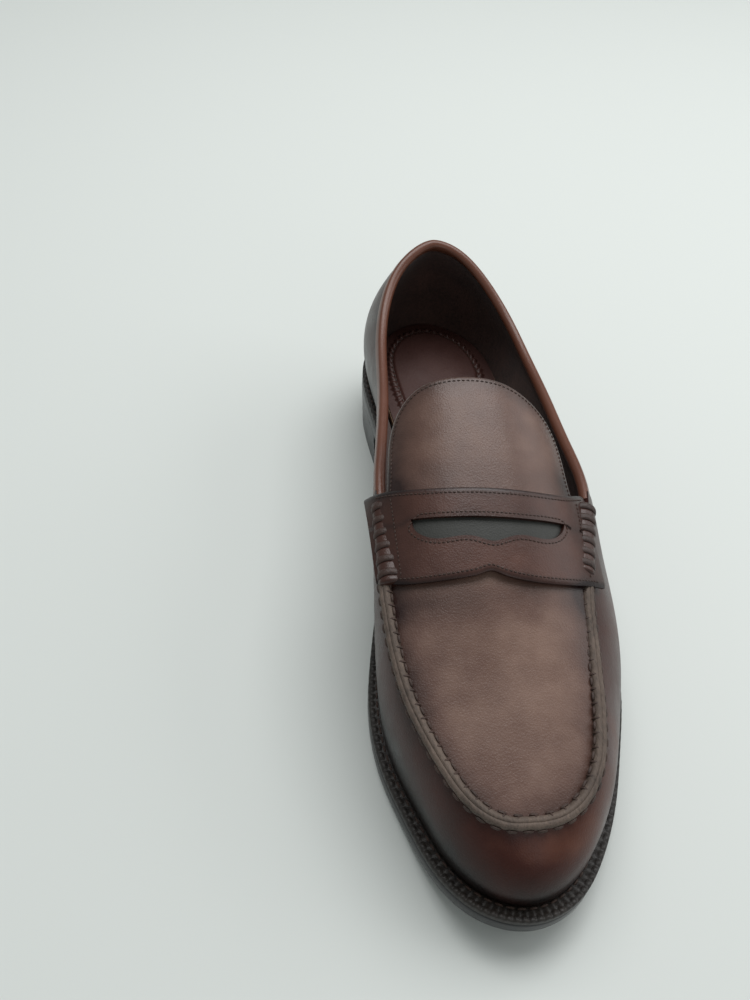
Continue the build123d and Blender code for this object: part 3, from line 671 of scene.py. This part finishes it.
def build_seam():
    """Raised moccasin seam: two leather edges stood up together, pinched between stitches."""
    rows = np.linspace(*SEAM_ROWS, 900)
    top, side, up = seam_frames(rows)
    run = np.concatenate([[0], np.cumsum(np.linalg.norm(np.diff(top, axis=0), axis=1))])
    section = np.array([(2.1, -0.9), (2.3, 0.4), (2.2, 1.3), (1.7, 2.0), (0.9, 2.35), (0.15, 2.2), (0.0, 2.0),
                        (-0.2, 2.2), (-0.9, 2.3), (-1.6, 1.9), (-2.1, 1.2), (-2.2, 0.3), (-2.0, -0.9)])
    pinch = 1.0 - 0.07 * (0.5 + 0.5 * np.cos(run / SEAM_PITCH * 2 * math.pi))
    wave = 1.0 + 0.03 * np.sin(run / 3.1) + 0.02 * np.sin(run / 1.3 + 1)
    data = tube(top, side * pinch[:, None], up * wave[:, None], section)
    place("moccasin_seam_edge", data, SEAM_EDGE, ["moccasin_seam"], sharp=50)
    outer = top + side * 2.5 + up * 0.5
    inner = top - side * 2.45 + up * 0.7
    stitches = [thread(outer, unit(side + up * 0.8), SEAM_PITCH, 3.6, 0.55),
                thread(inner, unit(up - side * 0.5), SEAM_PITCH, 3.2, 0.5)]
    bars = []
    count = int(run[-1] / SEAM_PITCH)
    for k in range(count):
        at = (k + 0.06) * run[-1] / count
        p, s, u = (np.array([np.interp(at, run, a[:, c]) for c in range(3)]) for a in (top, side, up))
        angle = np.linspace(-0.1 * math.pi, 0.42 * math.pi, 9)
        line = p - np.outer(np.cos(angle), s) * 2.35 + np.outer(np.sin(angle), u) * 1.9
        bars.append((line, unit(line - p)))
    stitches += [thread(line, n, 60.0, 3.0, 0.42, 0.0) for line, n in bars]
    place("moccasin_seam_thread", merge(stitches), THREAD, ["seam_stitches"])


def strap_edges(xs):
    """Front edge, slot front, slot rear and rear edge of the strap at each x."""
    front, rear = spline_through(STRAP_FRONT, 300), spline_through(STRAP_REAR, 300)
    low, high = spline_through(SLOT_BOTTOM, 400), spline_through(SLOT_TOP, 200)
    f, r = np.interp(xs, front[:, 0], front[:, 1]), np.interp(xs, rear[:, 0], rear[:, 1])
    inside = (xs > low[:, 0].min()) & (xs < low[:, 0].max())
    a, b = np.interp(xs, low[:, 0], low[:, 1]), np.interp(xs, high[:, 0], high[:, 1])
    middle = f * 0.4 + r * 0.6
    ends = np.where(xs < -9, high[0, 1], high[-1, 1])
    blend = np.where(xs < -9, smoothstep(-41.0, low[:, 0].min(), xs),
                     1 - smoothstep(low[:, 0].max(), 26.0, xs))
    closed = middle * (1 - blend) + ends * blend
    a, b = np.where(inside, np.minimum(a, b), closed), np.where(inside, b, closed)
    return f, a, b, r


def strap_lift(xs):
    """The strap stands a little off the apron in the middle and tucks into the rolls at its ends."""
    return 0.9 * np.exp(-((xs + 8) / 22) ** 2)


def build_strap():
    xs = np.concatenate([np.linspace(-48.4, -35.0, 26), np.linspace(-34.8, -32.0, 16),
                         np.linspace(-31.7, 16.6, 150), np.linspace(16.8, 19.8, 18),
                         np.linspace(20.0, 34.0, 26)])
    f, a, b, r = strap_edges(xs)
    bands = []
    tones = []
    for low, high in ((f, a), (b, r)):
        v = np.linspace(0, 1, 17)
        x = np.broadcast_to(xs[:, None], (len(xs), len(v)))
        y = low[:, None] + (high - low)[:, None] * v[None, :]
        edge = np.minimum(y - low[:, None], high[:, None] - y)
        open_edge = np.minimum(y - f[:, None], r[:, None] - y)
        droop = 0.45 * np.clip(1 - open_edge / 1.0, 0, 1) ** 2
        lift = strap_lift(x)
        top, _ = crown(x, y, STRAP + lift - droop)
        bottom, _ = crown(x, y, STRAP_BACKING + lift * 0.8)
        bands.append(slab(top, bottom))
        # painted shade: the strap darkens toward its ends, where it turns down the sides and runs under the
        # beef rolls
        ends = 0.22 * smoothstep(24, 38, np.abs(x + 7))
        tone = 0.56 - 0.26 * np.exp(-(open_edge / 1.8) ** 2) - 0.18 * np.exp(-(edge / 1.2) ** 2) - ends
        tones.append(np.tile(tone.ravel(), 2))
    points, faces = merge(bands)
    place("saddle_strap", (points, faces), STRAP_CALF, ["strap"], np.concatenate(tones), 50)
    x = np.broadcast_to(xs[:, None], (len(xs), 9))
    y = (f + 1.5)[:, None] + (r - f - 3.0)[:, None] * np.linspace(0, 1, 9)[None, :]
    top, _ = crown(x, y, STRAP_BACKING + strap_lift(x) * 0.7)
    bottom, _ = crown(x, y, np.full(x.shape, 0.02))
    place("slot_backing_leather", slab(top, bottom), SLOT_BACKING, ["strap_backing"])


def over_strap(xs, ys):
    return crown(xs, ys, STRAP + strap_lift(xs))


def build_strap_thread():
    xs = np.linspace(-45.0, 31.0, 200)
    f, _, _, r = strap_edges(xs)
    lines = [(xs, f + STRAP_STITCH_IN), (xs, r - STRAP_STITCH_IN)]
    low, high = spline_through(SLOT_BOTTOM, 300), spline_through(SLOT_TOP, 200)
    ring = np.concatenate([low, high[::-1]])
    forward = np.roll(ring, -4, 0) - np.roll(ring, 4, 0)
    outward = unit(np.column_stack([forward[:, 1], -forward[:, 0]]))
    ring = ring + outward * SLOT_STITCH_OUT
    ring = ring[5:-5]
    window = np.ones(13) / 13
    smooth = np.stack([np.convolve(np.pad(ring[:, k], 6, "wrap"), window, "valid") for k in (0, 1)], 1)
    lines.append((smooth[:, 0], smooth[:, 1]))
    for x in (-40.2, 27.6):
        f0, _, _, r0 = strap_edges(np.array([x]))
        lines.append((np.full(40, x), np.linspace(f0[0] + 3.0, r0[0] - 3.0, 40)))
    parts = []
    for x, y in lines:
        path, normal = over_strap(np.asarray(x), np.asarray(y))
        parts.append(thread(path, normal, STRAP_PITCH, 1.2, 0.26, 0.14))
    place("strap_thread", merge(parts), THREAD, ["strap_stitches"])
    outline = apron_outline(TONGUE_STITCH_IN)[246:-6]
    path, normal = crown(outline[:, 0], outline[:, 1], np.zeros(len(outline)))
    data = thread(path, normal, TONGUE_PITCH, 1.3, 0.26, 0.14)
    place("tongue_thread", data, THREAD, ["tongue_stitches"])


def roll_line(first, last, count):
    """Axis of a beef roll with sideways and upward directions."""
    start, end = wall(first, 1.0)[0], wall(last, 1.0)[0]
    side3 = unit(np.append(edge_frame(first)[1][0] + edge_frame(last)[1][0], 0.0))
    up = unit(side3 * 0.3 + np.array([0, 0, 1.0]))
    share = np.linspace(0, 1, count)[:, None]
    path = start + (end - start) * share + up * ROLL_RISE - side3 * ROLL_IN
    along = unit(end - start)
    across = unit(np.cross(along, up))
    return path, np.tile(across, (count, 1)), np.tile(unit(np.cross(across, along)), (count, 1))


def build_beef_roll(label, first, last):
    path, across, up = roll_line(first, last, 140)
    share = np.linspace(0, 1, 140)
    round_end = np.sqrt(np.clip(1 - np.clip(np.abs(share - 0.5) * 2 - 0.93, 0, 1) ** 2 / 0.0055, 0.25, 1))
    turns = [WRAP_FIRST + WRAP_STEP * k for k in range(WRAPS)]
    cinch = 1 - 0.16 * sum(np.exp(-((share - turn) / 0.022) ** 2) for turn in turns)
    size = (round_end * cinch)[:, None]
    data = tube(path, across * size, up * size, ellipse(ROLL_HALF_WIDE, ROLL_HALF_HIGH, 28))
    # painted shade in the creases under the lacing wraps
    tone = np.repeat(0.42 - 0.25 * (1 - cinch) / 0.16, 28)
    node = "beef_roll_" + label
    place(node + "_leather", data, STRAP_CALF, [node], tone, 50)
    wraps = []
    for at in turns:
        middle, a, u = (np.array([np.interp(at, share, v[:, c]) for c in range(3)])
                        for v in (path, across, up))
        along = unit(path[-1] - path[0])
        angle = np.linspace(0, 2 * math.pi, 44, endpoint=False)
        skew = 0.9 * np.sin(angle)[:, None] * along
        ring = middle + np.outer(np.cos(angle) * 4.2, a) + np.outer(np.sin(angle) * 2.65, u) + skew
        out = unit(np.outer(np.cos(angle) / 4.55, a) + np.outer(np.sin(angle) / 2.85, u))
        wraps.append(tube(ring, out, np.tile(along, (44, 1)), ellipse(0.5, 1.35, 12), True))
    place("roll_lacing_%s_thong" % label, merge(wraps), LACE_CALF, ["roll_lacing_" + label])


# ---------------------------------------------------------------- sole
def ring_grid(rows, profile):
    """Closed ring round the sole from a profile of (inset, rise over the tread line)."""
    value, side = edge_frame(rows)
    grid = []
    for inset, rise in profile:
        plan = value[:, :2] - side * inset
        grid.append(np.column_stack([plan, tread(plan[:, 1]) + rise]))
    return np.stack(grid, 1)


def band_tube(grid):
    """Closed solid ring from a grid whose columns go once round the section."""
    n, m = grid.shape[:2]
    faces = [(i * m + j, ((i + 1) % n) * m + j, ((i + 1) % n) * m + (j + 1) % m, i * m + (j + 1) % m)
             for i in range(n) for j in range(m)]
    return grid.reshape(-1, 3), faces


def build_welt():
    """Welt with wheeled ribs across its upper edge."""
    steps = WELT_RIBS * STEPS_PER_RIB
    rows = np.linspace(0, COUNT, steps, endpoint=False)
    value, _ = station(rows)
    phase = np.arange(steps) / STEPS_PER_RIB * 2 * math.pi
    rib = 0.5 + 0.5 * np.cos(phase)
    rib = rib ** 0.6
    width = value[:, 2]
    columns = [(0.9, OUTSOLE, 0.0), (0.25, OUTSOLE + 0.15, 0.0), (0.0, OUTSOLE + 0.6, 0.0), (0.0, 8.9, 0.0),
               (0.08, 9.45, 0.22), (0.45, 9.95, 0.45), (1.0, 10.15, 0.6), (1.6, 10.15, 0.6), (2.1, 9.95, 0.4)]
    grid = []
    flat, side = edge_frame(rows)
    for inset, rise, depth in columns:
        plan = flat[:, :2] - side * (inset + depth * (1 - rib) * 0.5)[:, None]
        grid.append(np.column_stack([plan, tread(plan[:, 1]) + rise - depth * (1 - rib)]))
    for inset, rise in ((2.6, 9.75), (0.0, 9.9), (MARGIN_INSET, 10.0), (MARGIN_INSET, OUTSOLE + 0.02)):
        inward = np.where(inset == 0.0, np.maximum(width * 0.98, 2.8), inset)
        plan = flat[:, :2] - side * inward[:, None]
        grid.append(np.column_stack([plan, tread(plan[:, 1]) + rise]))
    place("welt_wheeled", band_tube(np.stack(grid, 1)), WELT_BLACK, ["welt"], sharp=60)
    line = flat[:, :2] - side * np.maximum(width - 1.3, 1.9)[:, None]
    path = np.column_stack([line, tread(line[:, 1]) + 9.85])
    up = np.tile([0, 0, 1.0], (len(path), 1))
    place("welt_thread", thread(path, up, WELT_PITCH, 2.9, 0.42, 0.3), THREAD, ["welt_stitches"])


def build_outsole():
    """Outsole with a softly rounded, dyed edge."""
    rows = np.linspace(0, COUNT, 480, endpoint=False)
    profile = [(1.3, 0.0), (0.6, 0.15), (0.2, 0.55), (0.02, 1.3), (0.0, 3.2), (0.05, 5.0), (0.35, 5.9),
               (0.9, 6.3), (1.4, OUTSOLE)]
    outer = ring_grid(rows, profile)
    caps = []
    for inset, rise in ((1.3, 0.0), (1.4, OUTSOLE)):
        edge = ring_grid(rows, [(inset, rise)])[:, 0]
        centre_y = np.clip(edge[:, 1], -110, 118)
        rs = np.linspace(1, 0, 14)
        x = edge[:, None, 0] * rs + (-3.0) * (1 - rs)
        y = edge[:, None, 1] * rs + centre_y[:, None] * (1 - rs)
        caps.append(np.stack([x, y, tread(y) + rise], -1))
    grid = np.concatenate([caps[0][:, ::-1], outer[:, 1:-1], caps[1]], 1)
    n, m = grid.shape[:2]
    faces = skin_faces(n, m, 0, wrap=True)
    data = (grid.reshape(-1, 3), faces)
    place("outsole_edge_dyed", data, EDGE_BLACK, ["outsole"], sharp=50)


def build_heel_pad():
    """Stitched heel pad with small gathers round its edge."""
    rows = np.array([27, 28, 29, 30, 31, 32, 33, 34], float)
    value, side = edge_frame(rows)
    around = value[:, :2] - side * 11.0
    points = list(map(tuple, around)) + [(-19.5, 66), (-12, 53), (-0.5, 48), (11, 53), (19.0, 66), (21.0, 85)]
    outline = spline_through(points + [points[0]], 721)[:-1]
    centre = np.array([-1.5, 96.0])
    reach = np.linalg.norm(outline - centre, axis=1)
    rs = np.concatenate([np.linspace(0.0, 0.7, 12), np.linspace(0.73, 1.0, 22)])
    run = np.concatenate([[0], np.cumsum(np.linalg.norm(np.diff(outline, axis=0), axis=1))])
    gather = 0.5 + 0.5 * np.cos(run / GATHER_PITCH * 2 * math.pi)
    edge = reach[:, None] * (1 - rs)[None, :]
    height = 1.5 * smoothstep(0, 2.2, edge) + 0.5 * smoothstep(4, 22, edge)
    height -= 0.75 * np.exp(-((edge - 4.0) / 0.9) ** 2)
    height -= 0.95 * gather[:, None] * np.exp(-((edge - 1.8) / 1.7) ** 2)
    plan = centre + (outline - centre)[:, None] * rs[None, :, None]
    base = tread(plan[..., 1]) + SOCK_TOP
    top = np.dstack([plan, base + 0.15 + height])
    bottom = np.dstack([plan, base + 0.02])
    pad = place("heel_pad_cushion", slab(top, bottom, wrap=True), SOCK_CALF, ["heel_pad"])
    line = outline + unit(centre - outline) * PAD_STITCH_IN
    path = np.column_stack([line, tread(line[:, 1]) + SOCK_TOP + 0.85])
    up = np.tile([0, 0, 1.0], (len(path), 1))
    points, faces = thread(path, up, PAD_PITCH, 2.2, 0.3, 0.15)
    stitched = sharpen(recalc(make_object("heel_pad_thread", points, faces, THREAD)))


def finish_cad_nodes():
    """Procedural materials for the nodes whose shape stays as it is."""
    for node, material in (("heel_top_piece", EDGE_BLACK), ("heel_lift_lower", EDGE_BLACK),
                           ("heel_lift_middle", EDGE_BLACK), ("heel_lift_upper", EDGE_BLACK),
                           ("heel_nails", STEEL), ("shank", STEEL), ("cork_filler", CORK),
                           ("insole_board", SOLE_TAN), ("sock_liner", SOCK_CALF)):
        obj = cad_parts[node]
        obj.data.materials.clear()
        obj.data.materials.append(material)


# ---------------------------------------------------------------- studio
FLOOR_HALF = 6.0


def build_stage():
    mesh = bpy.data.meshes.new("floor")
    corners = [(x * FLOOR_HALF, y * FLOOR_HALF, 0) for x, y in ((-1, -1), (1, -1), (1, 1), (-1, 1))]
    mesh.from_pydata(corners, [], [(0, 1, 2, 3)])
    floor = bpy.data.objects.new("floor", mesh)
    bpy.context.scene.collection.objects.link(floor)
    material, _, _, shader = new_material("pale_floor")
    shader.inputs["Base Color"].default_value = (0.66, 0.69, 0.67, 1)
    shader.inputs["Roughness"].default_value = 0.7
    floor.data.materials.append(material)


def placed(axes, at):
    """World matrix from three axes as columns and a place in metres."""
    return Matrix([[*row, p] for row, p in zip(axes, at)] + [[0, 0, 0, 1]])


def area_light(name, place_at, aim, size, watts, colour=(1, 1, 1)):
    data = bpy.data.lights.new(name, "AREA")
    data.shape = "RECTANGLE"
    data.size, data.size_y = size
    data.energy = watts
    data.color = colour
    light = bpy.data.objects.new(name, data)
    bpy.context.scene.collection.objects.link(light)
    z = unit(np.array(place_at, float) - np.array(aim, float))
    x = unit(np.cross([0.0, 1.0, 0.05], z))
    y = np.cross(z, x)
    light.matrix_world = placed(np.column_stack([x, y, z]), place_at)


def build_lights():
    world = bpy.data.worlds.new("studio")
    bpy.context.scene.world = world
    world.use_nodes = True
    background = world.node_tree.nodes["Background"]
    background.inputs["Color"].default_value = (0.90, 0.96, 0.94, 1)
    background.inputs["Strength"].default_value = 0.30
    area_light("overhead", (0.15, 0.45, 1.25), (0, 0, 0), (1.3, 0.8), 15)
    area_light("window_right", (1.2, 0.2, 0.75), (0, 0, 0.03), (0.7, 1.3), 5)
    area_light("front_fill", (0.3, -1.2, 0.7), (0, 0, 0.03), (1.0, 0.5), 1.5)


CAMERA_AT = (-0.0882, -0.2481, 0.3358)
CAMERA_PITCH, CAMERA_ROLL, CAMERA_YAW = math.radians(47.6), math.radians(4.48), math.radians(9.85)
CAMERA_LENS = 34.2


def build_camera():
    forward = np.array([0, math.cos(CAMERA_PITCH), -math.sin(CAMERA_PITCH)])
    right = np.array([1.0, 0, 0])
    up = np.cross(right, forward)
    r = math.cos(CAMERA_ROLL) * right + math.sin(CAMERA_ROLL) * up
    u = -math.sin(CAMERA_ROLL) * right + math.cos(CAMERA_ROLL) * up
    c, s = math.cos(CAMERA_YAW), math.sin(CAMERA_YAW)
    turn = np.array([[c, s, 0], [-s, c, 0], [0, 0, 1]])
    axes = np.column_stack([turn @ r, turn @ u, turn @ -forward])
    data = bpy.data.cameras.new("camera")
    data.sensor_fit = "VERTICAL"
    data.sensor_height = 36.0
    data.lens = CAMERA_LENS
    data.clip_start = 0.01
    camera = bpy.data.objects.new("camera", data)
    bpy.context.scene.collection.objects.link(camera)
    camera.matrix_world = placed(axes, CAMERA_AT)
    bpy.context.scene.camera = camera


build_walls()
build_stiffeners()
build_back_strip()
build_binding()
build_apron()
build_seam()
build_strap()
build_strap_thread()
build_beef_roll("medial", *MEDIAL_ROLL)
build_beef_roll("lateral", *LATERAL_ROLL)
build_welt()
build_outsole()
build_heel_pad()
finish_cad_nodes()
build_stage()
build_lights()
build_camera()
bpy.context.scene.view_settings.view_transform = "Standard"
